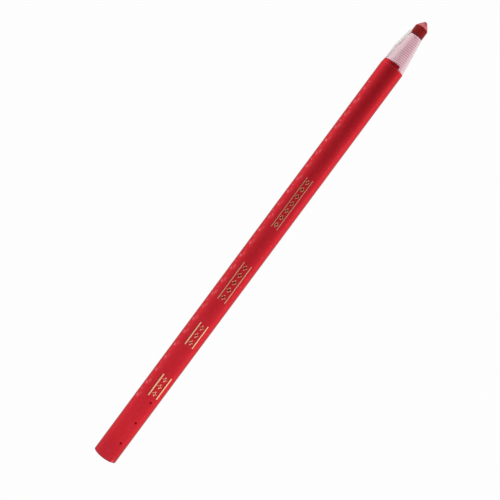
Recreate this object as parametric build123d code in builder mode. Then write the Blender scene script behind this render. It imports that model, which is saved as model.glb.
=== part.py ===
from build123d import *
import math
import os

# China marker: a wax core in wound paper, wrapped in film that a string tears open.
# Millimetres. It lies along X with its writing tip at +X, and rests on Z = 0.
# A place along the marker is its distance back from the writing tip.
# An angle round the barrel is 0 at the top and grows towards +Y, the string's side.

# Wax core
overall_length = 171.0
core_diameter = 4.46
point_half_angle = 36.0
point_tip_radius = 0.7
bare_core_length = 5.72

# Paper strip, wound on the core in tapering layers, each layer a cone
paper_wall = 1.705
paper_ply = 0.09
nose_length = 12.4
layer_clearance = 0.02
section_clearance = 0.15

# Film, one turn and a lap, rolled on a little askew so that its inner edge shows as a lip
film_thickness = 0.05
film_start_angle = -26.0
film_ramp_angle = 12.0
film_lap_angle = 160.0
film_overhang = 0.1
film_lip = 1.25
film_lip_angle = 222.0
tear_line_clearance = 0.05

# Tear-off sections, each begun by a U-shaped cut beside the string
first_section_length = 7.65
section_length = 5.0
shortest_stub = 25.3
tongue_width = 2.9
tongue_length = 2.9
tongue_middle_angle = 61.5
tongue_setback = 0.1
cut_width = 0.12

# Pinholes near the back end
pinhole_diameter = 0.75
pinhole_depth = 0.9
pinhole_pitch = 8.0
pinhole_count = 3
pinhole_angle = -25.4
pinhole_end_distance = 7.1

# Pull string
string_diameter = 0.84
string_cover = 0.1
string_side_clearance = 0.03
string_floor_clearance = 0.07
string_end_rounding = 0.35
string_bend_clearance = 0.15
tail_clearance = 0.05
tail_level_length = 2.2
tail_end_distance = 4.8

# Worked out from the sizes above
core_radius = core_diameter / 2
bore_radius = core_radius + layer_clearance
paper_radius = bore_radius + paper_wall
turn_radius = paper_radius + layer_clearance
lap_radius = turn_radius + film_thickness + layer_clearance
barrel_radius = lap_radius + film_thickness
axis_height = turn_radius + film_thickness
tip_x = overall_length / 2
shoulder = bare_core_length + nose_length
film_front = shoulder - film_overhang
tear_line = film_front + first_section_length
section_count = 1 + int((overall_length - shortest_stub - tear_line) / section_length)
nose_edge_radius = bore_radius + paper_ply
nose_slope = (paper_radius - nose_edge_radius) / nose_length
string_radius = string_diameter / 2
string_place = paper_radius - string_cover - string_radius
string_pivot = bare_core_length + (string_place - nose_edge_radius) / nose_slope

marker_axis = Axis((0, 0, axis_height), (1, 0, 0))
# Both planes count back from the tip first, then out from the axis: up, or to the string
long_plane = Plane((tip_x, 0, axis_height), x_dir=(-1, 0, 0), z_dir=(0, 1, 0))
string_plane = Plane((tip_x, 0, axis_height), x_dir=(-1, 0, 0), z_dir=(0, 0, -1))


def cross_plane(back):
    """The plane across the marker at this distance back, facing the tip, with +Y first."""
    return Plane((tip_x - back, 0, axis_height), x_dir=(0, 1, 0), z_dir=(1, 0, 0))


def tangent_plane(back, angle):
    """A plane that touches the barrel's outside, facing out, with the way to the tip first."""
    turn = math.radians(angle)
    outward = Vector(0, math.sin(turn), math.cos(turn))
    touch = Vector(tip_x - back, 0, axis_height) + outward * barrel_radius
    return Plane(touch, x_dir=(1, 0, 0), z_dir=outward)


def export(piece, name):
    piece.part.label = name
    export_step(piece.part, f"parts/{name}.step")


os.makedirs("parts", exist_ok=True)

# Wax core, pointed in front and cut flat behind
point_slope = math.tan(math.radians(point_half_angle))
point_sine = math.sin(math.radians(point_half_angle))
point_cosine = math.cos(math.radians(point_half_angle))
touch_back = point_tip_radius * (1 - point_sine)
touch_radius = point_tip_radius * point_cosine
point_length = touch_back + (core_radius - touch_radius) / point_slope
with BuildPart() as wax_core:
    with BuildSketch(long_plane):
        with BuildLine():
            rounding = TangentArc((0, 0), (touch_back, touch_radius), tangent=(0, 1))
            Polyline(
                rounding @ 1,
                (point_length, core_radius),
                (overall_length, core_radius),
                (overall_length, 0),
                (0, 0),
            )
        make_face()
    revolve(axis=marker_axis)
export(wax_core, "wax_core")


def paper_profile(shift, rear_outline):
    """Half the outline of a paper section whose cone lies this far behind the nose's."""
    front = bare_core_length + shift
    with BuildSketch(long_plane) as profile:
        with BuildLine():
            Polyline(
                (front, bore_radius),
                (front, nose_edge_radius),
                (front + nose_length, paper_radius),
                *rear_outline,
                close=True,
            )
        make_face()
    return profile.sketch


def nested_rear(shift):
    """The hollow cone at the back of a section, clear of the next section's nose."""
    rear = bare_core_length + shift - section_clearance
    return [
        (rear + nose_length, paper_radius),
        (rear, nose_edge_radius),
        (rear, bore_radius),
    ]


# The groove that the string lies in, open from under the string out to the film
groove_floor = string_place - string_radius - string_floor_clearance
groove_top = paper_radius + film_thickness
with BuildSketch(cross_plane(overall_length)) as string_groove:
    with Locations(((groove_floor + groove_top) / 2, 0)):
        Rectangle(groove_top - groove_floor, string_diameter + 2 * string_side_clearance)

# Pinholes in line along the barrel, counted from the one nearest the back end
pinhole_plane = tangent_plane(overall_length - pinhole_end_distance, pinhole_angle)
with BuildSketch(pinhole_plane) as pinholes:
    with Locations(*[(place * pinhole_pitch, 0) for place in range(pinhole_count)]):
        Circle(pinhole_diameter / 2)

# Tear-off sections of paper, nested like cups, and the stub that is left to hold
front_shift = 0
for number in range(1, section_count + 1):
    rear_shift = first_section_length + (number - 1) * section_length
    with BuildPart() as paper_section:
        revolve(paper_profile(front_shift, nested_rear(rear_shift)), axis=marker_axis)
        extrude(string_groove.sketch, amount=overall_length, mode=Mode.SUBTRACT)
    export(paper_section, f"paper_section_{number:02d}")
    front_shift = rear_shift

stub_rear = [(overall_length, paper_radius), (overall_length, bore_radius)]
with BuildPart() as paper_stub:
    revolve(paper_profile(front_shift, stub_rear), axis=marker_axis)
    extrude(string_groove.sketch, amount=overall_length, mode=Mode.SUBTRACT)
    extrude(pinholes.sketch, amount=-pinhole_depth, mode=Mode.SUBTRACT)
export(paper_stub, "paper_stub")


def film_arc(radius, sweep):
    """An arc round the axis from the film's starting edge, growing towards the string's side."""
    return CenterArc((0, 0), radius, 90 - film_start_angle, -sweep)


def film_profile(back):
    """Film seen along the axis: one turn, a ramp over its starting edge, and the lap on top."""
    with BuildSketch(cross_plane(back)) as profile:
        with BuildLine():
            turn_inside = film_arc(turn_radius, 360 - film_ramp_angle)
            turn_outside = film_arc(turn_radius + film_thickness, 360 - film_ramp_angle)
            lap_inside = film_arc(lap_radius, film_lap_angle)
            lap_outside = film_arc(barrel_radius, film_lap_angle)
            Line(turn_inside @ 0, turn_outside @ 0)
            Line(turn_inside @ 1, lap_inside @ 0)
            Line(turn_outside @ 1, lap_outside @ 0)
            Line(lap_inside @ 1, lap_outside @ 1)
        make_face()
    return profile.sketch


# Film of the first section, with the lip of its inner layer
collar_back = tear_line - tear_line_clearance
with BuildPart() as film_collar:
    extrude(film_profile(collar_back), amount=collar_back - film_front)
    with BuildSketch(cross_plane(film_front)):
        with BuildLine():
            lip_inside = film_arc(turn_radius, film_lip_angle)
            lip_outside = film_arc(turn_radius + film_thickness, film_lip_angle)
            Line(lip_inside @ 0, lip_outside @ 0)
            Line(lip_inside @ 1, lip_outside @ 1)
        make_face()
    extrude(amount=film_lip)
export(film_collar, "film_collar")

# One U-shaped cut round a tongue, whose root is beside the string
arm_top = tongue_length / 2
arm_bottom = (tongue_width - tongue_length) / 2
with BuildSketch() as tear_cut:
    with BuildLine():
        near_arm = Line((-tongue_width / 2, arm_top), (-tongue_width / 2, arm_bottom))
        bottom = TangentArc(near_arm @ 1, (tongue_width / 2, arm_bottom), tangent=(0, -1))
        Line(bottom @ 1, (tongue_width / 2, arm_top))
    trace(line_width=cut_width)

# Film of all the other sections, with one cut through it at the start of each
cut_reach = tongue_length / 2 + cut_width
cut_depth = barrel_radius - math.sqrt(turn_radius**2 - cut_reach**2) + layer_clearance
first_tongue = tear_line + tongue_setback + tongue_width / 2
last_tongue = first_tongue + (section_count - 1) * section_length
with BuildPart() as film_wrapper:
    extrude(film_profile(overall_length), amount=overall_length - tear_line)
    with BuildSketch(tangent_plane((first_tongue + last_tongue) / 2, tongue_middle_angle)):
        with GridLocations(section_length, 0, section_count, 1):
            add(tear_cut.sketch)
    extrude(amount=-cut_depth, mode=Mode.SUBTRACT)
    extrude(pinholes.sketch, amount=-pinhole_depth, mode=Mode.SUBTRACT)
export(film_wrapper, "film_wrapper")

# String under the film, in two lengths that meet where the first section ends
run_front = string_pivot + first_section_length
lead_front = string_pivot + string_radius + string_bend_clearance
with BuildPart() as string_run:
    with BuildSketch(cross_plane(overall_length)):
        with Locations((string_place, 0)):
            Circle(string_radius)
    extrude(amount=overall_length - run_front)
export(string_run, "string_run")

with BuildPart() as string_lead:
    with BuildSketch(cross_plane(run_front - tear_line_clearance)):
        with Locations((string_place, 0)):
            Circle(string_radius)
    extrude(amount=run_front - tear_line_clearance - lead_front)
    fillet(string_lead.edges().group_by(Axis.X)[-1], radius=string_end_rounding)
export(string_lead, "string_lead")

# Free tail of the string, out of its groove, along the nose and over the edge of the paper
over_edge = nose_edge_radius + string_radius + tail_clearance
over_core = core_radius + string_radius + tail_clearance
mid_nose = (bare_core_length + string_pivot) / 2
tail_route = [
    (string_pivot + string_radius, string_place),
    (string_pivot, string_place),
    (string_pivot - tail_level_length, string_place),
    (mid_nose, over_edge + nose_slope * (mid_nose - bare_core_length)),
    (bare_core_length, over_edge),
    (tail_end_distance, over_core),
]
with BuildPart() as string_tail:
    with BuildLine(string_plane) as tail_path:
        Spline(*tail_route)
    with BuildSketch(Plane(tail_path.line @ 0, z_dir=tail_path.line % 0)):
        Circle(string_radius)
    sweep(path=tail_path.line)
    fillet(string_tail.faces().filter_by(GeomType.PLANE).edges(), radius=string_end_rounding)
export(string_tail, "string_tail")
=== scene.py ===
import math
import random

import bmesh
import bpy
from mathutils import Matrix, Vector, noise
from mathutils.geometry import delaunay_2d_cdt


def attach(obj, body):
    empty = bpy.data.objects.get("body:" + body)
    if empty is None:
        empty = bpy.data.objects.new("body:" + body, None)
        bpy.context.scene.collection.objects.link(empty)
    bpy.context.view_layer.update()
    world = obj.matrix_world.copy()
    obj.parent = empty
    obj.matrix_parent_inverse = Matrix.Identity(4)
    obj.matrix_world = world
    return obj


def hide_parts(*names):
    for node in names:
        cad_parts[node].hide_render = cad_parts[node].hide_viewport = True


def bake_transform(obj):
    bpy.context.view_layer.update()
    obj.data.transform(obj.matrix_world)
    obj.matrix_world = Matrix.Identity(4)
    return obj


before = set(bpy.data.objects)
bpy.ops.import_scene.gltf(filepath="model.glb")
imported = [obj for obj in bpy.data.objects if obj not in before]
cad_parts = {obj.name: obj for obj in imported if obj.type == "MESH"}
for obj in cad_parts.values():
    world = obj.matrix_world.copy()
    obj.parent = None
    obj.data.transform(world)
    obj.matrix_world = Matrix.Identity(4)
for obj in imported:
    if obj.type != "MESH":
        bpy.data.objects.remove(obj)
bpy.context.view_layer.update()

# China marker: a wax core in wound paper, wrapped in red film that a pull string tears open.
# Sizes are in millimetres and become metres in place(). A place along the marker is its
# distance back from the writing tip. An angle is 0 at the top and grows towards the string.
mm = 0.001
draws = random.Random(17)

# Sizes of the solids
overall_length = 171.0
axis_height = 4.025
core_radius = 2.23
point_half_angle = 36.0
point_tip_radius = 0.7
bare_core_length = 5.72
bore_radius = 2.25
nose_edge_radius = 2.34
nose_length = 12.4
paper_radius = 3.955
paper_ply = 0.09
section_clearance = 0.15
first_section_length = 7.65
section_length = 5.0
section_count = 25
film_start = -26.0
film_lap = 160.0
film_front = 18.02
film_lip = 1.25
film_lip_angle = 222.0
tongue_middle = 61.5
tongue_half = 1.45
tongue_setback = 0.1
pinhole_radius = 0.375
pinhole_angle = -25.4
pinhole_backs = (147.9, 155.9, 163.9)
string_angle = 90.0
string_place = 3.435
string_pivot = 14.127
groove_half_width = 0.45
groove_floor = 2.945
tip_x = overall_length / 2
tear_line = film_front + first_section_length
nose_slope = (paper_radius - nose_edge_radius) / nose_length

# Places, unevenness and rings


def place(back, angle, radius):
    """A point in metres, from a distance back from the tip, an angle and a radius."""
    turn = math.radians(angle)
    across = radius * math.sin(turn)
    height = axis_height + radius * math.cos(turn)
    return Vector((tip_x - back, across, height)) * mm


def smooth_step(value, low, high):
    """0 up to low, 1 from high on, and an even S between them."""
    share = min(1.0, max(0.0, (value - low) / (high - low)))
    return share * share * (3 - 2 * share)


ripple_radius = 4.0


def ripple(back, angle, width, seed):
    """Smooth seeded unevenness from -1 to 1, with bumps about this many mm wide on the barrel."""
    turn = math.radians(angle)
    spot = Vector((back, ripple_radius * math.sin(turn), ripple_radius * math.cos(turn)))
    return noise.noise(spot / width + Vector((seed, seed, seed)))


def circle_steps(sides):
    """This many even steps round a circle, in radians."""
    return [2 * math.pi * side / sides for side in range(sides)]


def ring_quads(first, second):
    """Quads between two closed rings of as many point numbers."""
    quads = []
    for step in range(len(first)):
        after = (step + 1) % len(first)
        quads.append((first[step], first[after], second[after], second[step]))
    return quads


# Materials


def linear(code):
    """An sRGB hex colour as linear RGBA."""
    levels = []
    for start in (1, 3, 5):
        level = int(code[start:start + 2], 16) / 255
        levels.append(level / 12.92 if level <= 0.04045 else ((level + 0.055) / 1.055) ** 2.4)
    return (*levels, 1.0)


def add_node(owner, kind, settings=None, links=None):
    """Add a node, set its properties and input values by name, and link its inputs."""
    node = owner.node_tree.nodes.new(kind)
    for name, value in (settings or {}).items():
        if isinstance(name, int) or name in node.inputs:
            node.inputs[name].default_value = value
        else:
            setattr(node, name, value)
    for name, socket in (links or {}).items():
        owner.node_tree.links.new(socket, node.inputs[name])
    return node


def new_material(name):
    material = bpy.data.materials.new(name)
    material.use_nodes = True
    material.node_tree.nodes.clear()
    return material


def finish_material(material, shader):
    add_node(material, "ShaderNodeOutputMaterial", links={"Surface": shader.outputs[0]})
    return material


def marking_wax():
    """Pigmented wax, cast as a rod. The cast side is dark, with a bloom that makes it paler where
    it is seen at a slant: the sheen stands for that. The point was scraped by sharpening, which
    leaves it paler and dusty, and its blunt end is dirty from writing."""
    material = new_material("marking_wax_cast_and_scraped")
    where = add_node(material, "ShaderNodeTexCoord").outputs["Object"]
    crumb_width = 0.3 * mm
    cloud_width = 1.5 * mm
    crumbs = add_node(
        material, "ShaderNodeTexNoise", {"Scale": 1 / crumb_width, "Detail": 4.0}, {"Vector": where}
    )
    clouds = add_node(
        material, "ShaderNodeTexNoise", {"Scale": 1 / cloud_width, "Detail": 2.0}, {"Vector": where}
    )
    cast = add_node(
        material,
        "ShaderNodeMix",
        {"data_type": "RGBA", 6: linear("#6c0a0a"), 7: linear("#800f0f")},
        {0: clouds.outputs["Fac"]},
    )
    scraped = add_node(
        material,
        "ShaderNodeMix",
        {"data_type": "RGBA", 6: linear("#ca5a64"), 7: linear("#de8089")},
        {0: crumbs.outputs["Fac"]},
    )
    bare = add_node(material, "ShaderNodeAttribute", {"attribute_name": "scraped"})
    dirty = add_node(material, "ShaderNodeAttribute", {"attribute_name": "dirty"})
    body = add_node(
        material,
        "ShaderNodeMix",
        {"data_type": "RGBA"},
        {0: bare.outputs["Fac"], 6: cast.outputs[2], 7: scraped.outputs[2]},
    )
    # Dirt on the blunt end, and painted shade in a band where the cast side meets the paper's edge
    colour = add_node(
        material,
        "ShaderNodeMix",
        {"data_type": "RGBA", 7: linear("#46202c")},
        {0: dirty.outputs["Fac"], 6: body.outputs[2]},
    )
    rough = add_node(
        material,
        "ShaderNodeMapRange",
        {"To Min": 0.42, "To Max": 0.62},
        {"Value": crumbs.outputs["Fac"]},
    )
    bump = add_node(
        material,
        "ShaderNodeBump",
        {"Strength": 0.25, "Distance": 0.03 * mm},
        {"Height": crumbs.outputs["Fac"]},
    )
    shader = add_node(
        material,
        "ShaderNodeBsdfPrincipled",
        {
            "IOR": 1.44,
            "Specular IOR Level": 0.2,
            "Sheen Weight": 0.8,
            "Sheen Roughness": 0.45,
            "Sheen Tint": linear("#ff8078"),
        },
        {
            "Base Color": colour.outputs[2],
            "Roughness": rough.outputs["Result"],
            "Normal": bump.outputs["Normal"],
        },
    )
    return finish_material(material, shader)


def wound_paper():
    """Uncoated paper strip, wound tight and tinted pink by the wax. Each turn's cut edge is painted a
    thin mauve line of shade for the step that it makes, strongest on top. The joints between
    plies at the back end take the same tint."""
    material = new_material("uncoated_paper_wound")
    where = add_node(material, "ShaderNodeTexCoord").outputs["Object"]
    # Fibres drawn out round the barrel, along the strip, and coarser than real ones to show
    fibre_width = 0.25 * mm
    stretch = add_node(
        material, "ShaderNodeMapping", {"Scale": (1.0, 0.4, 0.4)}, {"Vector": where}
    )
    fibres = add_node(
        material,
        "ShaderNodeTexNoise",
        {"Scale": 1 / fibre_width, "Detail": 5.0, "Roughness": 0.6},
        {"Vector": stretch.outputs["Vector"]},
    )
    flat = add_node(
        material,
        "ShaderNodeMix",
        {"data_type": "RGBA", 6: linear("#dfc2c8"), 7: linear("#e6d2d6")},
        {0: fibres.outputs["Fac"]},
    )
    # Painted shade at the turns' edges, and the tint of the joints at the back end
    edge = add_node(material, "ShaderNodeAttribute", {"attribute_name": "ply_edge"})
    colour = add_node(
        material,
        "ShaderNodeMix",
        {"data_type": "RGBA", 7: linear("#aa506b")},
        {0: edge.outputs["Fac"], 6: flat.outputs[2]},
    )
    bump = add_node(
        material,
        "ShaderNodeBump",
        {"Strength": 0.15, "Distance": 0.02 * mm},
        {"Height": fibres.outputs["Fac"]},
    )
    shader = add_node(
        material,
        "ShaderNodeBsdfPrincipled",
        {"IOR": 1.5, "Roughness": 0.9, "Specular IOR Level": 0.25},
        {"Base Color": colour.outputs[2], "Normal": bump.outputs["Normal"]},
    )
    return finish_material(material, shader)


def red_film():
    """Clear red plastic film, cast thin and rolled on tight. Light goes through it and comes back
    from its far side, so most of its gloss is red: a metallic share stands for that, tinted at a
    slant, and a light coat for the clear gloss of the near side. The satin face spreads the gloss
    into soft bands. Glints at its cuts, its front edge and a nick are painted highlights, its
    sawn edge is a little whitened, and it is darker towards its sawn back end."""
    material = new_material("red_plastic_film_satin")
    where = add_node(material, "ShaderNodeTexCoord").outputs["Object"]
    # Slow change of tint along the roll, the grain of the satin face, drawn coarser than it is so
    # that it shows, and scuffs from handling
    patterns = []
    for width, detail in ((12 * mm, 3.0), (0.35 * mm, 3.0), (1.6 * mm, 4.0)):
        settings = {"Scale": 1 / width, "Detail": detail}
        patterns.append(add_node(material, "ShaderNodeTexNoise", settings, {"Vector": where}))
    clouds, grain, scuffs = patterns
    face = add_node(
        material,
        "ShaderNodeMix",
        {"data_type": "RGBA", 6: linear("#d41e2a"), 7: linear("#e02736")},
        {0: clouds.outputs["Fac"]},
    )
    scuffed = add_node(
        material,
        "ShaderNodeMapRange",
        {"From Min": 0.52, "From Max": 0.8, "To Min": 0.0, "To Max": 0.3},
        {"Value": scuffs.outputs["Fac"]},
    )
    whitening_and_highlight = add_node(material, "ShaderNodeAttribute", {"attribute_name": "whitening_and_highlight"})
    darkened = add_node(material, "ShaderNodeAttribute", {"attribute_name": "darkened"})
    # Scuffs, then painted highlights with a little whitening, then darkening towards the back end, each
    # over what is under it
    colour = face
    for share, tint in (
        (scuffed.outputs["Result"], "#ea444c"),
        (whitening_and_highlight.outputs["Fac"], "#ff8088"),
        (darkened.outputs["Fac"], "#5c1226"),
    ):
        settings = {"data_type": "RGBA", 7: linear(tint)}
        colour = add_node(material, "ShaderNodeMix", settings, {0: share, 6: colour.outputs[2]})
    rough = add_node(
        material,
        "ShaderNodeMapRange",
        {"To Min": 0.2, "To Max": 0.25},
        {"Value": grain.outputs["Fac"]},
    )
    bump = add_node(
        material,
        "ShaderNodeBump",
        {"Strength": 0.04, "Distance": 0.01 * mm},
        {"Height": grain.outputs["Fac"]},
    )
    shader = add_node(
        material,
        "ShaderNodeBsdfPrincipled",
        {
            "IOR": 1.49,
            "Metallic": 0.75,
            "Specular IOR Level": 0.1,
            "Specular Tint": linear("#a01858"),
            "Coat Weight": 0.25,
            "Coat Roughness": 0.2,
            "Coat IOR": 1.49,
        },
        {
            "Base Color": colour.outputs[2],
            "Roughness": rough.outputs["Result"],
            "Normal": bump.outputs["Normal"],
        },
    )
    return finish_material(material, shader)


def cotton_string():
    """Undyed cotton, spun and twisted in three strands. Loose fibres scatter light, so it looks
    soft and cream, with no gloss."""
    material = new_material("undyed_cotton_twisted")
    where = add_node(material, "ShaderNodeTexCoord").outputs["Object"]
    clump_width = 0.1 * mm
    fibres = add_node(
        material, "ShaderNodeTexNoise", {"Scale": 1 / clump_width, "Detail": 4.0}, {"Vector": where}
    )
    colour = add_node(
        material,
        "ShaderNodeMix",
        {"data_type": "RGBA", 6: linear("#e2dad6"), 7: linear("#f0e9e4")},
        {0: fibres.outputs["Fac"]},
    )
    bump = add_node(
        material,
        "ShaderNodeBump",
        {"Strength": 0.5, "Distance": 0.03 * mm},
        {"Height": fibres.outputs["Fac"]},
    )
    shader = add_node(
        material,
        "ShaderNodeBsdfPrincipled",
        {"IOR": 1.53, "Roughness": 0.95, "Specular IOR Level": 0.2, "Sheen Weight": 0.3},
        {"Base Color": colour.outputs[2], "Normal": bump.outputs["Normal"]},
    )
    return finish_material(material, shader)


def gold_foil():
    """Gold lacquer foil, hot-stamped. Its metal flakes lie at all angles, so it is part matt. Its
    rims are painted bright peach gold as highlights, and its middles brown as shade, for the
    glints and dark reflections of the stamped relief."""
    material = new_material("gold_foil_hot_stamped")
    where = add_node(material, "ShaderNodeTexCoord").outputs["Object"]
    patch_width = 0.5 * mm
    patches = add_node(
        material, "ShaderNodeTexNoise", {"Scale": 1 / patch_width, "Detail": 4.0}, {"Vector": where}
    )
    bright = add_node(
        material,
        "ShaderNodeMix",
        {"data_type": "RGBA", 6: linear("#ffa680"), 7: linear("#ffd6ae")},
        {0: patches.outputs["Fac"]},
    )
    # Painted shade where this is 1, brown, and painted highlight where it is 0, bright peach gold
    painted_shade = add_node(material, "ShaderNodeAttribute", {"attribute_name": "painted_shade"})
    colour = add_node(
        material,
        "ShaderNodeMix",
        {"data_type": "RGBA", 7: linear("#6c1806")},
        {0: painted_shade.outputs["Fac"], 6: bright.outputs[2]},
    )
    rough = add_node(
        material,
        "ShaderNodeMapRange",
        {"To Min": 0.28, "To Max": 0.5},
        {"Value": patches.outputs["Fac"]},
    )
    shader = add_node(
        material,
        "ShaderNodeBsdfPrincipled",
        {"Metallic": 0.25, "Specular IOR Level": 0.1},
        {"Base Color": colour.outputs[2], "Roughness": rough.outputs["Result"]},
    )
    return finish_material(material, shader)


def white_floor():
    """Matt white paper sweep. It looks white to the eye and to a gloss, and the small share that
    is lit takes a faint shadow."""
    material = new_material("matt_white_paper_sweep")
    plain_white = 0.985
    rays = add_node(material, "ShaderNodeLightPath")
    seen = add_node(
        material,
        "ShaderNodeMath",
        {"operation": "MAXIMUM"},
        {0: rays.outputs["Is Camera Ray"], 1: rays.outputs["Is Glossy Ray"]},
    )
    shown = add_node(
        material,
        "ShaderNodeMath",
        {"operation": "MAXIMUM"},
        {0: seen.outputs[0], 1: rays.outputs["Is Transmission Ray"]},
    )
    share = add_node(
        material, "ShaderNodeMath", {"operation": "MULTIPLY", 1: plain_white}, {0: shown.outputs[0]}
    )
    matt = add_node(material, "ShaderNodeBsdfDiffuse", {"Color": linear("#cdcdcd")})
    glow = add_node(material, "ShaderNodeEmission", {"Color": linear("#ffffff"), "Strength": 1.0})
    shader = add_node(
        material,
        "ShaderNodeMixShader",
        links={0: share.outputs[0], 1: matt.outputs[0], 2: glow.outputs[0]},
    )
    return finish_material(material, shader)


wax = marking_wax()
paper = wound_paper()
film = red_film()
cotton = cotton_string()
foil = gold_foil()

# Meshes


def make_object(name, points, faces, material, values=None):
    """An object from points and faces. values names a list of one number for each point."""
    mesh = bpy.data.meshes.new(name)
    mesh.from_pydata(points, [], faces)
    for label, numbers in (values or {}).items():
        mesh.attributes.new(label, "FLOAT", "POINT").data.foreach_set("value", numbers)
    piece = bpy.data.objects.new(name, mesh)
    bpy.context.collection.objects.link(piece)
    if material:
        mesh.materials.append(material)
    return piece


def smooth(piece, sharp_angle):
    """Shade the piece smooth, and keep edges sharper than this angle crisp."""
    piece.data.shade_smooth()
    piece.data.set_sharp_from_angle(angle=math.radians(sharp_angle))


def settle(piece, sharp_angle):
    """Turn the faces of a closed piece outward, and smooth it."""
    work = bmesh.new()
    work.from_mesh(piece.data)
    bmesh.ops.recalc_face_normals(work, faces=work.faces)
    work.to_mesh(piece.data)
    work.free()
    smooth(piece, sharp_angle)


def settle_sheet(piece):
    """Turn every face of a rolled sheet away from the marker's axis."""
    work = bmesh.new()
    work.from_mesh(piece.data)
    bmesh.ops.recalc_face_normals(work, faces=work.faces)
    total = 0.0
    for face in work.faces:
        middle = face.calc_center_median()
        outward = Vector((0, middle.y, middle.z - axis_height * mm))
        total += face.normal.dot(outward) * face.calc_area()
    if total < 0:
        bmesh.ops.reverse_faces(work, faces=work.faces)
    work.to_mesh(piece.data)
    work.free()


def apply_modifiers(piece):
    bpy.context.view_layer.update()
    shaped = piece.evaluated_get(bpy.context.evaluated_depsgraph_get())
    mesh = bpy.data.meshes.new_from_object(shaped)
    old = piece.data
    piece.modifiers.clear()
    piece.data = mesh
    bpy.data.meshes.remove(old)


def carve(piece, cutter):
    """Cut the cutter's shape out of the piece, and remove the cutter."""
    cut = piece.modifiers.new("cut", "BOOLEAN")
    cut.operation = "DIFFERENCE"
    cut.solver = "EXACT"
    cut.object = cutter
    apply_modifiers(piece)
    bpy.data.objects.remove(cutter)


def bind(piece, body, slot, *nodes):
    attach(piece, body)
    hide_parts(*nodes)


def at_angle(value, angle):
    """The value here, from a number or from a function of the angle."""
    return value(angle) if callable(value) else value


class RoundForm:
    """Points, faces and point values of a turned or wound form, gathered ring by ring."""

    def __init__(self, columns, *labels):
        self.columns = columns
        self.points = []
        self.faces = []
        self.values = {label: [] for label in labels}

    def add_point(self, point, **values):
        self.points.append(point)
        for label, numbers in self.values.items():
            numbers.append(values.get(label, 0.0))
        return len(self.points) - 1

    def angle(self, column):
        return 360.0 * column / self.columns

    def ring(self, back, radius, **values):
        """A closed ring. back, radius and values are numbers, or functions of the angle."""
        found = []
        for column in range(self.columns):
            angle = self.angle(column)
            point = place(at_angle(back, angle), angle, at_angle(radius, angle))
            levels = {label: at_angle(value, angle) for label, value in values.items()}
            found.append(self.add_point(point, **levels))
        return found

    def join(self, *rings):
        """Faces from each ring to the next one."""
        for first, second in zip(rings, rings[1:]):
            self.faces += ring_quads(first, second)

    def close(self, ring, back, **values):
        """Fill a ring with a fan to a point on the axis."""
        middle = self.add_point(place(back, 0, 0), **values)
        for column in range(self.columns):
            self.faces.append((ring[column], ring[(column + 1) % self.columns], middle))

    def wind(self, low, high, pitch, stations, shape):
        """A strip wound in turns from low to high, with the plain rings that it starts and ends
        in, which are returned. Each turn has the same stations, as shares of the pitch.
        shape(value, share, angle) gives the point's back, radius, and painted ply line and shade."""
        middle_share = 0.5
        ring_tint = 0.3
        nearest = 0.02 * pitch
        start_ring = []
        end_ring = []
        for column in range(self.columns):
            angle = self.angle(column)
            for ring, value in ((start_ring, low), (end_ring, high)):
                back, radius, _ = shape(value, middle_share, angle)
                ring.append(self.add_point(place(back, angle, radius), ply_edge=ring_tint))
        count = len(stations)
        turns = math.ceil((high - low) / pitch) + 2
        grid = []
        for row in range(-count, turns * count):
            share = stations[row % count]
            line = []
            for column in range(self.columns):
                angle = self.angle(column)
                value = low + pitch * (row // count + share + column / self.columns)
                if value <= low + nearest:
                    line.append(start_ring[column])
                elif value >= high - nearest:
                    line.append(end_ring[column])
                else:
                    back, radius, edge = shape(value, share, angle)
                    line.append(self.add_point(place(back, angle, radius), ply_edge=edge))
            grid.append(line)
        for row in range(len(grid) - 1):
            for column in range(self.columns):
                after = (column + 1) % self.columns
                # Past the last column a row goes on as a row of the next turn
                next_row = row if after else row + count
                if next_row + 1 >= len(grid):
                    continue
                near_side = (grid[row][column], grid[next_row][after])
                far_side = (grid[next_row + 1][after], grid[row + 1][column])
                corners = list(dict.fromkeys(near_side + far_side))
                if len(corners) > 2:
                    self.faces.append(corners)
        return start_ring, end_ring


# Wax core
point_turn = math.radians(point_half_angle)
touch_back = point_tip_radius * (1 - math.sin(point_turn))
touch_radius = point_tip_radius * math.cos(point_turn)
point_length = touch_back + (core_radius - touch_radius) / math.tan(point_turn)
wax_columns = 96
tip_rows = 6
point_rows = 28
flattened_depth = 0.05
point_bulge = 0.12
flat_count = 7
flat_depth = 0.03
flat_twist = 140.0
scratch_depth = 0.02
point_inset = 0.005
cast_inset = 0.012
cast_depth = 0.01
sawn_inset = 0.02
sawn_depth = 0.015
sawn_bareness = 0.35
rubbed_share = 0.35


def dirt_round(light, heavy):
    """Dirt by the angle, heaviest on the side away from the string."""
    return lambda angle: light + (heavy - light) * (0.5 - 0.5 * math.sin(math.radians(angle)))


def blunt_ring(rod, share):
    """A ring of the blunt end, a little flattened by writing and dirty."""
    turn = math.radians(90.0 - point_half_angle) * share
    back = point_tip_radius * (1 - math.cos(turn))
    radius = point_tip_radius * math.sin(turn)
    # Darkest at the very end, and rubbed paler round it
    dirt = 1.0 - rubbed_share * smooth_step(back, 0.1, 0.42)

    def flattened(angle):
        return max(flattened_depth, back) + scratch_depth * ripple(back, angle, width=0.5, seed=3.0)

    return rod.ring(flattened, radius, scraped=1.0, dirty=dirt_round(0.85 * dirt, dirt))


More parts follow.
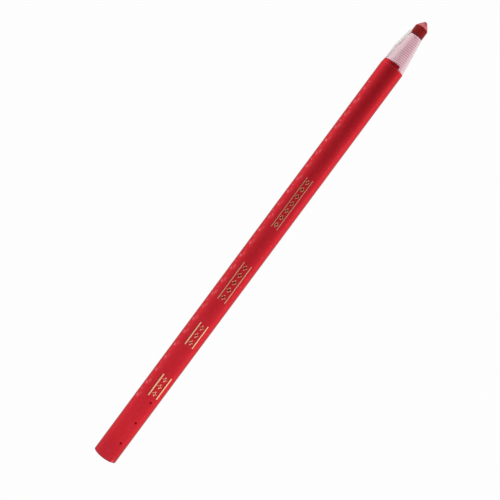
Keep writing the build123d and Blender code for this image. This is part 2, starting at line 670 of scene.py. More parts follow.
def scraped_ring(rod, share):
    """A ring of the cone, with the flats and scratches that sharpening leaves."""
    back = touch_back + (point_length - touch_back) * share
    radius = touch_radius + (core_radius - touch_radius) * share

    def scraped_radius(angle):
        flats = flat_depth * math.cos(math.radians(flat_count * angle + flat_twist * share))
        scratch = scratch_depth * ripple(back * 2.5, angle, width=0.7, seed=5.0)
        fuller = radius + (point_bulge + flats + scratch) * math.sin(math.pi * share) ** 0.7
        return min(core_radius - point_inset, fuller)

    def bare(angle):
        """The cutter stopped a little sooner on top."""
        return 1.0 - smooth_step(share + 0.07 * math.cos(math.radians(angle)), 0.88, 0.99)

    tip_dirt = 1.0 - smooth_step(share, 0.05, 0.42)
    side_dirt = tip_dirt + 0.25 * (1.0 - smooth_step(share, 0.5, 0.85))
    dirt = dirt_round(0.45 * tip_dirt, min(1.0, side_dirt))
    return rod.ring(back, scraped_radius, scraped=bare, dirty=dirt)


def cast_ring(rod, back):
    """A ring of the cast side, with painted shade in a band against the paper's edge."""
    before_edge = smooth_step(back, bare_core_length - 0.82, bare_core_length - 0.22)
    past_edge = smooth_step(back, bare_core_length + 0.08, bare_core_length + 0.68)
    edge_shade = 0.7 * before_edge * (1.0 - past_edge)

    def radius(angle):
        return core_radius - cast_inset + cast_depth * ripple(back, angle, width=1.2, seed=9.0)

    # Painted shade, uneven round the ring
    def dirt(angle):
        return edge_shade * (0.8 + 0.5 * ripple(back, angle, width=1.5, seed=15.0))

    return rod.ring(back, radius, dirty=dirt)


def sawn_ring(rod, radius):
    """A ring of the back end, sawn square."""

    def back(angle):
        uneven = sawn_depth * ripple(radius * 3, angle, width=0.8, seed=12.0)
        return overall_length - sawn_inset + uneven

    return rod.ring(back, radius, scraped=sawn_bareness)


def build_wax_core():
    rod = RoundForm(wax_columns, "scraped", "dirty")
    rings = [blunt_ring(rod, row / tip_rows) for row in range(1, tip_rows + 1)]
    rings += [scraped_ring(rod, row / point_rows) for row in range(1, point_rows + 1)]
    # Rows of the cast side lie close behind the point and at the paper's edge
    behind_point = (0.05, 0.12, 0.3, 0.6, 1.0, 1.5, 2.0, 2.6, 3.4, 4.6, 6.5, 9.0, 12.0)
    at_paper = (-0.32, -0.1, 0.08, 0.68)
    backs = [point_length + distance for distance in behind_point]
    backs += [bare_core_length + distance for distance in at_paper]
    backs += [20.0 + 6.0 * row for row in range(25)]
    rings += [cast_ring(rod, back) for back in sorted(backs)]
    rings.append(rod.ring(overall_length - 2 * sawn_inset, core_radius - 0.01))
    rings += [sawn_ring(rod, radius) for radius in (2.18, 1.8, 1.3, 0.8, 0.4)]
    rod.join(*rings)
    rod.close(rings[0], flattened_depth, scraped=1.0, dirty=0.8)
    rod.close(rings[-1], overall_length - sawn_inset, scraped=sawn_bareness)
    piece = make_object("wax_rod", rod.points, rod.faces, wax, rod.values)
    settle(piece, sharp_angle=38)
    bind(piece, "barrel", "wax", "wax_core")


# Paper
paper_columns = 120
turn_pitch = 0.71
turn_sway = 0.04
fade_length = 0.6
nose_stations = (-0.07, 0.05, 0.3, 0.55, 0.78)
end_stations = (-0.25, 0.0, 0.5)
joint_depth = 0.05
joint_tint = 0.8
end_inset = 0.01
# The angle where the turns' relief and painted shade are strongest
marked_angle = -10.0
pinhole_floor = 3.195
cutter_outside = 5.0
cutter_overrun = 3.0
cutter_sides = 24


def groove_cutter(hole_backs):
    """The string's groove, and a pinhole at each of these distances back, as one shape to cut
    away."""
    corners = (
        (groove_floor, -groove_half_width),
        (groove_floor, groove_half_width),
        (cutter_outside, groove_half_width),
        (cutter_outside, -groove_half_width),
    )
    points = []
    for back in (bare_core_length - cutter_overrun, overall_length + cutter_overrun):
        for across, height in corners:
            points.append(Vector((tip_x - back, across, axis_height + height)) * mm)
    faces = [(0, 1, 2, 3), (7, 6, 5, 4), *ring_quads(range(4, 8), range(4))]
    turn = math.radians(pinhole_angle)
    outward = Vector((0, math.sin(turn), math.cos(turn)))
    aside = Vector((0, math.cos(turn), -math.sin(turn)))
    for back in hole_backs:
        rings = []
        for depth in (pinhole_floor, cutter_outside):
            centre = Vector((tip_x - back, 0, axis_height)) + outward * depth
            rings.append(range(len(points), len(points) + cutter_sides))
            for spin in circle_steps(cutter_sides):
                offset = Vector((math.cos(spin), 0, 0)) + aside * math.sin(spin)
                points.append((centre + offset * pinhole_radius) * mm)
        floor_ring, outer_ring = rings
        faces += [tuple(floor_ring), tuple(reversed(outer_ring))]
        faces += ring_quads(outer_ring, floor_ring)
    cutter = make_object("cutter", points, faces, None)
    settle(cutter, sharp_angle=30)
    return cutter


def finish_paper(name, form, hole_backs, body, node):
    piece = make_object(name, form.points, form.faces, paper, form.values)
    settle(piece, sharp_angle=50)
    carve(piece, groove_cutter(hole_backs))
    settle(piece, sharp_angle=50)
    bind(piece, body, "paper", node)


def build_paper_section(name, front_shift, length, body, node):
    """A tear-off section: a nose wound in stepped turns, and a hollow cone behind."""
    front = bare_core_length + front_shift
    rear = front + length - section_clearance
    end = front + nose_length
    section = RoundForm(paper_columns, "ply_edge")

    def nose_shape(back, share, angle):
        # The turns stand out most on top and are rubbed smooth at the sides, and their painted shade is
        # strongest on top and fades at the sides
        off_top = abs((angle - marked_angle + 180.0) % 360.0 - 180.0)
        on_top = 1.0 - smooth_step(off_top, 15.0, 55.0)
        # Each turn steps down from its cut edge, and the steps fade out at the shoulder
        step = (0.45 - 0.9 * (share % 1.0)) * (0.3 + 0.3 * on_top)
        uneven = 1.0 + 0.35 * ripple(back, angle, width=1.1, seed=21.0)
        fade = 1.0 - smooth_step(back, end - fade_length, end)
        cone = nose_edge_radius + nose_slope * (back - front)
        radius = cone + paper_ply * step * uneven * fade
        # The cut edge gets the most painted shade, and it runs out into the turn behind it
        line = 1.0 if share < 0.1 else 0.5 if share < 0.4 else 0.0
        line *= 1.0 + 0.4 * ripple(back, angle, width=2.5, seed=33.0)
        tint = on_top * (0.27 + 0.38 * line) + 0.07 * line
        sway = turn_sway * ripple(back, angle, width=1.6, seed=41.0)
        return back + sway * fade, min(radius, paper_radius), max(0.0, tint)

    first, last = section.wind(front, end, turn_pitch, nose_stations, nose_shape)
    outer = section.ring(rear + nose_length, paper_radius)
    inner_cone = section.ring(rear, nose_edge_radius)
    inner_bore = section.ring(rear, bore_radius)
    front_bore = section.ring(front, bore_radius)
    section.join(last, outer, inner_cone, inner_bore, front_bore, first)
    finish_paper(name, section, (), body, node)


def build_paper_stub():
    """The paper that is left to hold, cut square behind, where its plies show as a spiral."""
    front = bare_core_length + first_section_length + (section_count - 1) * section_length
    end = overall_length - end_inset
    stub = RoundForm(paper_columns, "ply_edge")

    def end_shape(value, share, angle):
        """The joint between two plies is a dark shallow groove."""
        joint = share < 0
        return end - (joint_depth if joint else 0.0), -value, joint_tint if joint else 0.0

    outer, inner = stub.wind(-paper_radius, -bore_radius, paper_ply, end_stations, end_shape)
    front_bore = stub.ring(front, bore_radius)
    front_edge = stub.ring(front, nose_edge_radius)
    shoulder = stub.ring(front + nose_length, paper_radius)
    stub.join(inner, front_bore, front_edge, shoulder, outer)
    finish_paper("paper_stub_wound", stub, pinhole_backs, "barrel", "paper_stub")


# Film. A turn is an angle along the sheet, from its starting edge: past 360 it is the lap.
turn_outside = 4.025
lap_outside = 4.09
film_thickness = 0.045
film_wave = 0.004
ramp_start = 290.0
ramp_end = 361.0
column_step = 4.0
film_turns = [column_step * column for column in range(1 + round((360.0 + film_lap) / column_step))]
back_darkening = 0.16
back_darkening_start = 160.0
rim_darkening = 0.7
rim_width = 0.33
rim_fade = 0.08
rim_start = overall_length - rim_width


def film_outside(turn):
    """The radius of the film's outside, which ramps up over its starting edge to the lap."""
    return turn_outside + (lap_outside - turn_outside) * smooth_step(turn, ramp_start, ramp_end)


def within(turn, back, window):
    """True inside a window of the sheet, given as low turn, high turn, front and rear."""
    low, high, front, rear = window
    return low < turn < high and front < back < rear


def inside(x, y, polygon):
    """True if the point is inside the polygon, by counting the sides to its right."""
    odd = False
    for (x1, y1), (x2, y2) in zip(polygon, polygon[1:] + polygon[:1]):
        if (y1 > y) != (y2 > y) and x < x1 + (y - y1) * (x2 - x1) / (y2 - y1):
            odd = not odd
    return odd


class FilmSheet:
    """Film laid out by turn and by distance back, and rolled as its points are added."""

    def __init__(self, backs):
        self.backs = backs
        self.points = []
        self.faces = []
        self.whitening_and_highlight = []
        self.darkened = []
        self.known = {}

    def add(self, turn, back, lift=0.0, white=0.0, shared=True):
        """The number of a point. A shared one is added once for all the faces that meet there."""
        key = (round(turn, 4), round(back, 4))
        if shared and key in self.known:
            return self.known[key]
        angle = film_start + turn
        wave = film_wave * ripple(back, angle, width=7.0, seed=51.0)
        radius = film_outside(turn) - film_wave + wave + lift
        self.points.append(place(back, angle, radius))
        self.whitening_and_highlight.append(white)
        # Darker towards the back end, and darker still in a thin rim at the sawn edge
        dirt = back_darkening * smooth_step(back, back_darkening_start, overall_length - 1.0)
        rim = rim_darkening * smooth_step(back, rim_start, rim_start + rim_fade)
        self.darkened.append(max(dirt, rim * (1.0 - white)))
        number = len(self.points) - 1
        if shared:
            self.known[key] = number
        return number

    def grid(self, skip, white):
        """Quads over the whole sheet, apart from the windows to skip."""
        for turn, next_turn in zip(film_turns, film_turns[1:]):
            for back, next_back in zip(self.backs, self.backs[1:]):
                middle = ((turn + next_turn) / 2, (back + next_back) / 2)
                if any(within(*middle, window) for window in skip):
                    continue
                corners = ((turn, back), (next_turn, back), (next_turn, next_back), (turn, next_back))
                self.faces.append([self.add(*corner, white=white(*corner)) for corner in corners])

    def patch(self, window, loop, filling, lift, white):
        """Triangles that fill a window of the grid, through the filling points and up to a loop
        that is left open. Returns the loop's point numbers."""
        low, high, front, rear = window
        near = 0.01
        turns = [turn for turn in film_turns if low <= turn <= high]
        backs = [back for back in self.backs if front - near < back < rear + near]
        border = [(turn, backs[0]) for turn in turns[:-1]]
        border += [(turns[-1], back) for back in backs[:-1]]
        border += [(turn, backs[-1]) for turn in turns[:0:-1]]
        border += [(turns[0], back) for back in backs[:0:-1]]
        first = len(border)
        edges = [(step, (step + 1) % first) for step in range(first)]
        edges += [(first + step, first + (step + 1) % len(loop)) for step in range(len(loop))]
        flat = border + loop + filling
        # Turns become millimetres, so that the triangles are even
        scale = math.radians(lap_outside)
        scaled = [Vector((turn * scale, back)) for turn, back in flat]
        found, _, faces, origin, _, _ = delaunay_2d_cdt(scaled, edges, [], 0, 1e-6)
        numbers = []
        for point, sources in zip(found, origin):
            if any(source < first for source in sources):
                turn, back = flat[min(sources)]
                number = self.add(turn, back, white=white(turn, back))
            else:
                turn, back = point.x / scale, point.y
                number = self.add(turn, back, lift(turn, back), white(turn, back), shared=False)
            numbers.append(number)
        outline = [(turn * scale, back) for turn, back in loop]
        for face in faces:
            x = sum(found[corner].x for corner in face) / len(face)
            y = sum(found[corner].y for corner in face) / len(face)
            if not inside(x, y, outline):
                self.faces.append([numbers[corner] for corner in face])
        by_source = {}
        for number, sources in zip(numbers, origin):
            by_source.update((source, number) for source in sources)
        return [by_source[first + step] for step in range(len(loop))]


def finish_film(name, sheet, body, node):
    values = {"whitening_and_highlight": sheet.whitening_and_highlight, "darkened": sheet.darkened}
    piece = make_object(name, sheet.points, sheet.faces, film, values)
    settle_sheet(piece)
    thick = piece.modifiers.new("thickness", "SOLIDIFY")
    thick.thickness = film_thickness * mm
    thick.offset = -1.0
    apply_modifiers(piece)
    smooth(piece, sharp_angle=40)
    bind(piece, body, "film", node)


# Tongues, on the inner layer and on the lap over it
layers = (0.0, 360.0)
band_low = 60.0
band_high = 116.0
band_width = math.radians(band_high - band_low) * lap_outside
cut_half_width = 0.015
cut_margin = 0.13
root_margin = 0.1
arc_steps = 24


def tongue_outline(offset):
    """A U this far outside the middle line of its cut, from the root of its rear arm round to the
    root of its front arm. x is towards the tip, and y is round the barrel towards the root."""
    size = tongue_half + offset
    outline = [(-size, tongue_half * share) for share in (1.0, 0.66, 0.33)]
    for step in range(arc_steps + 1):
        turn = math.pi * step / arc_steps
        outline.append((-size * math.cos(turn), -size * math.sin(turn)))
    outline += [(size, tongue_half * share) for share in (0.33, 0.66, 1.0)]
    return outline


def add_tongue(sheet, start, layer):
    """The film round one U-shaped cut. On the lap each tongue is lifted by its own amount at its
    round end, and has three painted highlights for the glints along its cut."""
    middle = start + tongue_setback + tongue_half
    middle_turn = tongue_middle - film_start + layer
    low = band_low + layer
    high = band_high + layer
    rise = draws.uniform(0.01, 0.05) if layer else 0.0
    skew = draws.uniform(-0.06, 0.06)
    # Strength of each painted highlight, then its middle and half size in x and in y
    spots = (
        (draws.uniform(0.3, 1.0), 1.4, 0.3, -0.4, 0.35),
        (draws.uniform(0.6, 1.0), -1.3, 0.4, -0.5, 0.45),
        (draws.uniform(0.1, 0.5), -0.2, 0.7, -1.4, 0.4),
    )

    def to_sheet(x, y):
        return middle_turn + math.degrees(math.asin(y / lap_outside)), middle - x

    def from_sheet(turn, back):
        return middle - back, lap_outside * math.sin(math.radians(turn - middle_turn))

    tongue = tongue_outline(-cut_half_width)
    slit = [to_sheet(*point) for point in tongue_outline(cut_half_width)]
    slit += [to_sheet(*point) for point in reversed(tongue)]

    def lift(turn, back):
        x, y = from_sheet(turn, back)
        # Nudged inward, so that the tongue's own edge counts as inside
        if not inside(x * 0.999, y + 1e-4, tongue):
            return 0.0
        share = (tongue_half - y) / (2 * tongue_half)
        return rise * max(0.0, share) ** 1.5 * (1 + skew * x)

    def white(turn, back):
        if not layer:
            return 0.0
        x, y = from_sheet(turn, back)
        return max(
            strength * math.exp(-(((x - mid_x) / half_x) ** 2) - ((y - mid_y) / half_y) ** 2)
            for strength, mid_x, half_x, mid_y, half_y in spots
        )

    # The inner layer is hidden, so its triangles are larger
    spacing = 0.3 if layer else 0.6
    rows = int(section_length / spacing)
    columns = int(band_width / spacing)
    filling = []
    for row in range(1, rows):
        for column in range(1, columns):
            turn = low + (high - low) * (column + 0.5 * (row % 2)) / (columns + 0.5)
            back = start + section_length * row / rows
            x, y = from_sheet(turn, back)
            # Points close to the cut would make slivers
            reach = math.hypot(x, y) if y < 0 else abs(x)
            if abs(reach - tongue_half) > cut_margin or y > tongue_half + root_margin:
                filling.append((turn, back))
    sheet.patch((low, high, start, start + section_length), slit, filling, lift, white)


# Pinholes, with the film drawn in by the pin
hole_turn = pinhole_angle - film_start + 360.0
hole_turns = (348.0, 372.0)
under_hole_turns = (0.0, 8.0)
hole_sides = 20
hole_clearance = 0.6
hole_margin = 0.12
hole_dip = 0.08
sleeve_radii = (0.34, 0.31, 0.25, 0.12)
sleeve_depths = (0.14, 0.32, 0.55, 0.72)


def hole_window(back, turns):
    """The three rows of the sheet that hold a pinhole, between these turns."""
    front = tear_line + math.floor(back - tear_line - hole_clearance)
    return (*turns, front, front + 3.0)


def add_pinhole(sheet, back):
    def circle(radius):
        points = []
        for spin in circle_steps(hole_sides):
            around = math.degrees(radius * math.sin(spin) / lap_outside)
            points.append((hole_turn + around, back + radius * math.cos(spin)))
        return points

    def off_centre(turn, there):
        return math.hypot(there - back, math.radians(turn - hole_turn) * lap_outside)

    def dip(turn, there):
        off = off_centre(turn, there)
        return -hole_dip * (1 - smooth_step(off, pinhole_radius - 0.1, pinhole_radius + 0.4))

    window = hole_window(back, hole_turns)
    low, high, front, rear = window
    rows = 10
    columns = 7
    filling = []
    for row in range(1, rows):
        for column in range(1, columns):
            turn = low + (high - low) * column / columns
            there = front + (rear - front) * row / rows
            if off_centre(turn, there) > pinhole_radius + hole_margin:
                filling.append((turn, there))
    ring = sheet.patch(window, circle(pinhole_radius), filling, dip, lambda turn, there: 0.0)
    for radius, depth in zip(sleeve_radii, sleeve_depths):
        lower = [sheet.add(*point, -depth, shared=False) for point in circle(radius)]
        sheet.faces += ring_quads(ring, lower)
        ring = lower
    sheet.faces.append(ring)


nick_angle = 313.0


def build_film_wrapper():
    backs = [tear_line + row for row in range(1 + round(rim_start - tear_line))]
    backs += [rim_start + rim_fade, overall_length - end_inset]
    sheet = FilmSheet(backs)
    starts = [tear_line + number * section_length for number in range(section_count)]
    last_cut = starts[-1] + section_length
    skip = [(band_low + layer, band_high + layer, tear_line, last_cut) for layer in layers]
    # The inner layer under each pinhole is left out too
    for turns in (hole_turns, under_hole_turns):
        skip += [hole_window(back, turns) for back in pinhole_backs]

    def edge_white(turn, back):
        """The sawn edge is a little whitened, with a painted highlight at a nick in it."""
        near_back = smooth_step(back, overall_length - 0.9, overall_length)
        nick = 1 - smooth_step(abs(film_start + turn - nick_angle), 2.0, 9.0)
        return near_back * (0.05 + 0.8 * nick)

    sheet.grid(skip, edge_white)
    for start in starts:
        for layer in layers:
            add_tongue(sheet, start, layer)
    for back in pinhole_backs:
        add_pinhole(sheet, back)
    finish_film("film_wrap", sheet, "barrel", "film_wrapper")


lap_edge = 348.0
lip_extra = 0.2
lip_bend = 0.8
bend_start = 0.1
tear_gap = 0.02
lip_shares = (0.0, 0.1, 0.2, 0.5, 1.0)


def build_film_collar():
    backs = [film_front, film_front + 0.12, film_front + 0.35]
    backs += [film_front + 0.8 * row for row in range(1, 10)]
    backs.append(tear_line - tear_gap)
    sheet = FilmSheet(backs)

    def edge_white(turn, back):
        """The front edge of the lap is painted lighter, a painted highlight along its cut edge."""
        if turn < lap_edge:
            return 0.0
        return 0.25 * (1 - smooth_step(back, film_front, film_front + 0.3))

    sheet.grid((), edge_white)

    # The lip is a little longer on the string's side, and bends in along the paper's cone
    def lip_point(turn, share):
        longer = lip_extra * smooth_step(film_start + turn, 30, 75)
        reach = share * (film_lip + longer)
        bend = lip_bend * nose_slope * max(0.0, reach - bend_start)
        return sheet.add(turn, film_front - reach, -bend)

    lip_turns = [turn for turn in film_turns if turn < film_lip_angle] + [film_lip_angle]
    for turn, next_turn in zip(lip_turns, lip_turns[1:]):
        for near, far in zip(lip_shares, lip_shares[1:]):
            corners = ((turn, near), (next_turn, near), (next_turn, far), (turn, far))
            sheet.faces.append([lip_point(*corner) for corner in corners])
    finish_film("film_front_collar", sheet, "front_section", "film_collar")


# String
strand_radius = 0.25
strand_offset = 0.17
strand_count = 3
twist_pitch = 2.4
slack_pitch = 14.0
slack_length = 5.2
taut_from = 8.0
untwisted_length = 6.6
slack_spread = 1.2
slack_flattening = 0.2
slack_swelling = 0.34
strand_wobble = 0.06
thin_end_length = 0.7
end_thinning = 0.5
# The string parts between these when the first section comes off
lead_rear = 21.72
run_front = 21.79


def string_line(name, route):
    """Points along a smooth line through the string's route, in millimetres."""
    curve = bpy.data.curves.new(name, "CURVE")
    curve.dimensions = "3D"
    curve.resolution_u = 24
    spline = curve.splines.new("NURBS")
    spline.points.add(len(route) - 1)
    for point, (back, radius, angle) in zip(spline.points, route):
        spot = place(back, angle, radius) / mm
        point.co = (*spot, 1.0)
    spline.order_u = 3
    spline.use_endpoint_u = True
    carrier = bpy.data.objects.new(name, curve)
    bpy.context.collection.objects.link(carrier)
    bpy.context.view_layer.update()
    mesh = bpy.data.meshes.new_from_object(carrier)
    line = [vertex.co.copy() for vertex in mesh.vertices]
    bpy.data.objects.remove(carrier)
    bpy.data.curves.remove(curve)
    bpy.data.meshes.remove(mesh)
    return line


def even_steps(line, spacing):
    """The line's points again, at even steps along it."""
    lengths = [0.0]
    for before, after in zip(line, line[1:]):
        lengths.append(lengths[-1] + (after - before).length)
    count = max(2, round(lengths[-1] / spacing))
    found = []
    segment = 0
    for step in range(count + 1):
        target = lengths[-1] * step / count
        while segment < len(line) - 2 and lengths[segment + 1] < target:
            segment += 1
        span = lengths[segment + 1] - lengths[segment]
        share = (target - lengths[segment]) / span if span else 0.0
        found.append(line[segment].lerp(line[segment + 1], min(1.0, max(0.0, share))))
    return found


def heading(line, number):
    """The direction of a line at one of its points."""
    before = line[max(0, number - 1)]
    after = line[min(len(line) - 1, number + 1)]
    return (after - before).normalized()


def add_tube(points, faces, line, radii, sides):
    """A closed tube along the line, with a radius for each of its points."""
    rings = []
    for number, centre in enumerate(line):
        ahead = heading(line, number)
        aside = ahead.cross(Vector((0.1, 0.3, 1))).normalized()
        upward = aside.cross(ahead)
        rings.append(range(len(points), len(points) + sides))
        for spin in circle_steps(sides):
            offset = aside * math.cos(spin) + upward * math.sin(spin)
            points.append((centre + offset * radii[number]) * mm)
    for first, second in zip(rings, rings[1:]):
        faces += ring_quads(first, second)
    faces += [tuple(reversed(rings[0])), tuple(rings[-1])]


def strands(points, faces, path, spacing, sides, free_end):
    """Strands twisted round the path. With a free end, the string is slack where it is out of its
    groove: it is hardly twisted there, spreads flat on the paper, and thins out at its end."""
    for strand in range(strand_count):
        route = []
        radii = []
        for number, centre in enumerate(path):
            ahead = heading(path, number)
            outward = Vector((0, centre.y, centre.z - axis_height))
            aside = ahead.cross(outward).normalized()
            outward = aside.cross(ahead)
            to_end = (len(path) - 1 - number) * spacing
            thinned = slack = loose = 0.0
            if free_end:
                thinned = 1 - smooth_step(to_end, 0.0, thin_end_length)
                slack = 1 - smooth_step(to_end, slack_length, taut_from)
                loose = min(to_end, untwisted_length)
            turns = loose / slack_pitch + (to_end - loose) / twist_pitch
            spin = 2 * math.pi * (turns + strand / strand_count)
            spread = strand_offset * (1 + slack_spread * slack) * (1 - end_thinning * thinned)
            stack = strand_offset * (1 - slack_flattening * slack)
            offset = aside * math.cos(spin) * spread + outward * math.sin(spin) * stack
            route.append(centre + offset)
            along = Vector((number * spacing * 1.7, strand * 7.0, 2.0))
            radius = strand_radius * (1 + strand_wobble * noise.noise(along))
            radii.append(radius * (1 + slack_swelling * slack) * (1 - end_thinning * thinned))
        add_tube(points, faces, route, radii, sides)


fibre_count = 16
fibre_radii = (0.022, 0.018, 0.01)
fibre_sides = 5


def build_string_tail():
    # Back, radius and angle of each point. The tail leaves its groove and drifts over the nose.
    route = [
        (lead_rear, string_place, string_angle),
        (17.5, string_place, string_angle),
        (string_pivot, string_place, string_angle),
        (13.0, 3.44, 88.0),
        (11.9, 3.41, 82.0),
        (10.0, 3.23, 75.0),
        (8.0, 2.96, 74.0),
        (6.2, 2.72, 68.0),
        (4.8, 2.58, 62.0),
    ]
    spacing = 0.12
    points = []
    faces = []
    path = even_steps(string_line("tail_line", route), spacing)
    strands(points, faces, path, spacing, sides=10, free_end=True)
    # Loose fibres at the cut end
    end = path[-1]
    ahead = (path[-1] - path[-4]).normalized()
    for _ in range(fibre_count):
        spread = Vector((draws.uniform(-1, 1), draws.uniform(-0.5, 1), draws.uniform(-1, 1)))
        root = end - ahead * draws.uniform(0.2, 0.5) + spread * 0.14
        length = draws.uniform(0.3, 0.65)
        aim = (ahead + spread * 0.45).normalized()
        fibre = [root, root + aim * length * 0.5, root + (aim + spread * 0.2) * length]
        add_tube(points, faces, fibre, fibre_radii, fibre_sides)
    tail = make_object("pull_string_tail", points, faces, cotton)
    settle(tail, sharp_angle=60)
    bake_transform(tail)
    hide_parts("string_lead", "string_tail")


def build_string_run():
    backs = (overall_length - 0.12, 100.0, 60.0, run_front)
    route = [(back, string_place, string_angle) for back in backs]
    spacing = 0.3
    points = []
    faces = []
    path = even_steps(string_line("run_line", route), spacing)
    strands(points, faces, path, spacing, sides=8, free_end=False)
    run = make_object("pull_string_run", points, faces, cotton)
    settle(run, sharp_angle=60)
    bind(run, "barrel", "string", "string_run")


# Foil marks: rows of plain lozenges between two rules
foil_radius = lap_outside + 0.003
rule_step = 0.8
bright_share = 0.15
lozenge_length = 0.7
lozenge_width = 0.58
lozenge_corners = ((-0.5, 0.0), (0.0, 0.5), (0.5, 0.0), (0.0, -0.5))
# Start, end, angle, width of a rule, space between the rules, lozenges, share of each that is
# painted brown shade, and painted shade over the bright parts, most in the rows near the tip
foil_rows = (
    (61.5, 80.5, 0.0, 0.34, 2.1, 7, 0.64, 0.42),
    (94.5, 108.8, -4.0, 0.44, 2.8, 5, 0.6, 0.3),
    (117.8, 126.4, -8.0, 0.62, 2.8, 3, 0.46, 0.0),
    (138.0, 146.2, -14.0, 0.74, 3.1, 3, 0.38, 0.0),
)


def build_foil():
    points = []
    faces = []
    painted_shade = []

    def stamp(outline, middle, depth):
        """A filled convex outline of (back, across) points on top of the film, with this much painted
        shade.
        """
        faces.append(tuple(range(len(points), len(points) + len(outline))))
        for back, across in outline:
            angle = middle + math.degrees(across / foil_radius)
            points.append(place(back, angle, foil_radius))
            painted_shade.append(depth)

    def rule(start, end, across, width, middle, front_shade):
        """A line with a painted highlight along one side and painted shade along the other."""
        steps = max(1, round((end - start) / rule_step))
        for number in range(steps):
            low = start + (end - start) * number / steps
            high = start + (end - start) * (number + 1) / steps
            for near, far, depth in ((-0.5, bright_share, front_shade), (bright_share, 0.5, 1.0)):
                low_side = across + near * width
                high_side = across + far * width
                sides = ((low, low_side), (high, low_side), (high, high_side), (low, high_side))
                stamp(sides, middle, depth)

    def lozenge(back, length, width, hollow, middle, front_shade):
        """A lozenge with a painted highlight on its rim and painted shade in its middle, which is this
        share of its size.
        """
        rims = []
        for size in (1.0, hollow):
            rims.append([(back + x * length * size, y * width * size) for x, y in lozenge_corners])
        outer, inner = rims
        for quad in ring_quads(outer, inner):
            stamp(quad, middle, front_shade)
        stamp(inner, middle, 1.0)

    for start, end, middle, width, spread, count, hollow, front_shade in foil_rows:
        for across in (-spread / 2, spread / 2):
            rule(start, end, across, width, middle, front_shade)
        gap = (end - start) / count
        size = (gap * lozenge_length, spread * lozenge_width)
        for number in range(count):
            lozenge(start + gap * (number + 0.5), *size, hollow, middle, front_shade)
    marks = make_object("foil_marks", points, faces, foil, {"painted_shade": painted_shade})
    settle_sheet(marks)
    marks.data.shade_smooth()
    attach(marks, "barrel")


build_wax_core()
build_paper_section("paper_nose_first", 0.0, first_section_length, "front_section", "paper_section_01")
build_paper_section("paper_nose_second", first_section_length, section_length, "barrel", "paper_section_02")
build_paper_stub()
build_film_wrapper()
build_film_collar()
build_string_tail()
build_string_run()
build_foil()
# The other sections are hidden in the barrel and keep their solids
for number in range(3, section_count + 1):
    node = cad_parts[f"paper_section_{number:02d}"]
    node.data.materials.clear()
    node.data.materials.append(paper)

# Floor: a disc whose rim curves up into a low wall, just under the marker. Metres.
floor_sides = 64
floor_drop = 0.00002
floor_rows = ((0.3, 0.0), (0.9, 0.0), (1.4, 0.0), (1.7, 0.03), (1.85, 0.09), (1.9, 0.2))
floor_points = []
for radius, height in floor_rows:
    for spin in circle_steps(floor_sides):
        floor_points.append((radius * math.cos(spin), radius * math.sin(spin), height - floor_drop))
floor_rings = [range(row * floor_sides, (row + 1) * floor_sides) for row in range(len(floor_rows))]
floor_faces = [tuple(floor_rings[0])]
for inner, outer in zip(floor_rings, floor_rings[1:]):
    floor_faces += ring_quads(inner, outer)
floor = make_object("floor_sweep", floor_points, floor_faces, white_floor())
floor.data.shade_smooth()

# Camera: nearly overhead, with the marker's tip at the upper right. The roll is in radians.
camera_height = 300.0
eye = Vector((4.71, 1.887, axis_height + camera_height)) * mm
aim = Vector((-5.07, 1.887, axis_height)) * mm
roll = 0.93292
field_of_view = 29.6436
back_axis = (eye - aim).normalized()
upward = Vector((math.sin(roll), math.cos(roll), 0.0))
right_axis = upward.cross(back_axis).normalized()
up_axis = back_axis.cross(right_axis)
facing = Matrix((right_axis, up_axis, back_axis)).transposed().to_4x4()
camera = bpy.data.objects.new("camera", bpy.data.cameras.new("camera"))
camera.data.angle = math.radians(field_of_view)
camera.data.clip_start = 0.01
camera.matrix_world = Matrix.Translation(eye) @ facing
bpy.context.collection.objects.link(camera)
bpy.context.scene.camera = camera

# Sky: bright in a rim at the horizon and dimmer overhead, where it is brighter over the
# marker's back end than over its tip
sky_slope = -1.4
dimmest_sky = 0.05
world = bpy.data.worlds.new("studio")
world.use_nodes = True
world.node_tree.nodes.clear()
sky_way = add_node(world, "ShaderNodeTexCoord").outputs["Generated"]
sky_parts = add_node(world, "ShaderNodeSeparateXYZ", links={0: sky_way})
sky_even = add_node(
    world,
    "ShaderNodeMapRange",
    {"From Min": 0.0, "From Max": 1.0, "To Min": 0.82, "To Max": 0.39},
    {"Value": sky_parts.outputs["Z"]},
)
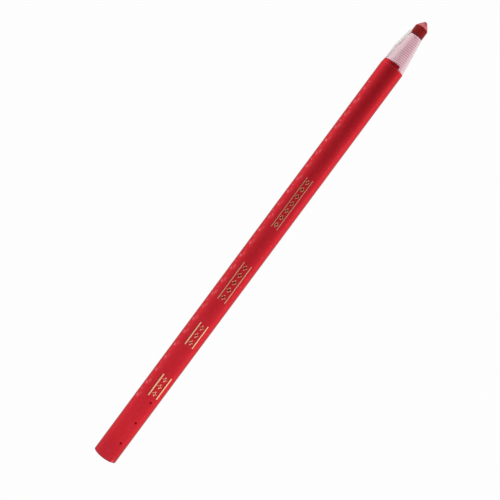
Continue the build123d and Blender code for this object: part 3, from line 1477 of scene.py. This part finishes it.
# Not clamped, so that the rim falls on until the even sky is brighter
sky_rim = add_node(
    world,
    "ShaderNodeMapRange",
    {"clamp": False, "From Min": 0.0, "From Max": 0.18, "To Min": 1.0, "To Max": 0.745},
    {"Value": sky_parts.outputs["Z"]},
)
sky_base = add_node(
    world,
    "ShaderNodeMath",
    {"operation": "MAXIMUM"},
    {0: sky_even.outputs["Result"], 1: sky_rim.outputs["Result"]},
)
sky_slant = add_node(
    world,
    "ShaderNodeMath",
    {"operation": "MULTIPLY"},
    {0: sky_parts.outputs["X"], 1: sky_parts.outputs["Z"]},
)
sky_slanted = add_node(
    world,
    "ShaderNodeMath",
    {"operation": "MULTIPLY_ADD", 1: sky_slope},
    {0: sky_slant.outputs[0], 2: sky_base.outputs[0]},
)
sky_level = add_node(
    world, "ShaderNodeMath", {"operation": "MAXIMUM", 1: dimmest_sky}, {0: sky_slanted.outputs[0]}
)
sky = add_node(
    world,
    "ShaderNodeBackground",
    {"Color": linear("#ffffff")},
    {"Strength": sky_level.outputs[0]},
)
add_node(world, "ShaderNodeOutputWorld", links={"Surface": sky.outputs[0]})
bpy.context.scene.world = world


def soft_light(name, spot, target, size, power):
    """A soft lamp that lights the marker and isn't mirrored in its gloss. Metres and watts."""
    light = bpy.data.lights.new(name, "AREA")
    light.shape = "RECTANGLE"
    light.size, light.size_y = size
    light.energy = power
    lamp = bpy.data.objects.new(name, light)
    direction = Vector(target) - Vector(spot)
    lamp.rotation_euler = direction.to_track_quat("-Z", "Y").to_euler()
    lamp.location = spot
    lamp.visible_camera = False
    lamp.visible_glossy = False
    bpy.context.collection.objects.link(lamp)


# Lamps low on both sides, overhead, in front of the tip and behind the back end
soft_light("right_light", (0.03, -0.3, 0.025), (0.03, 0.0, 0.004), (0.36, 0.04), 0.78)
soft_light("left_light", (0.03, 0.3, 0.025), (0.03, 0.0, 0.004), (0.36, 0.04), 0.08)
soft_light("top_light", (0.0, 0.0, 0.5), (0.0, 0.0, 0.0), (0.5, 0.5), 0.42)
soft_light("front_light", (0.16, 0.06, 0.05), (0.075, 0.0, 0.004), (0.08, 0.05), 0.07)
soft_light("rear_light", (-0.3, 0.05, 0.08), (-0.0855, 0.0, 0.004), (0.2, 0.08), 0.25)

bpy.context.scene.view_settings.view_transform = "Standard"
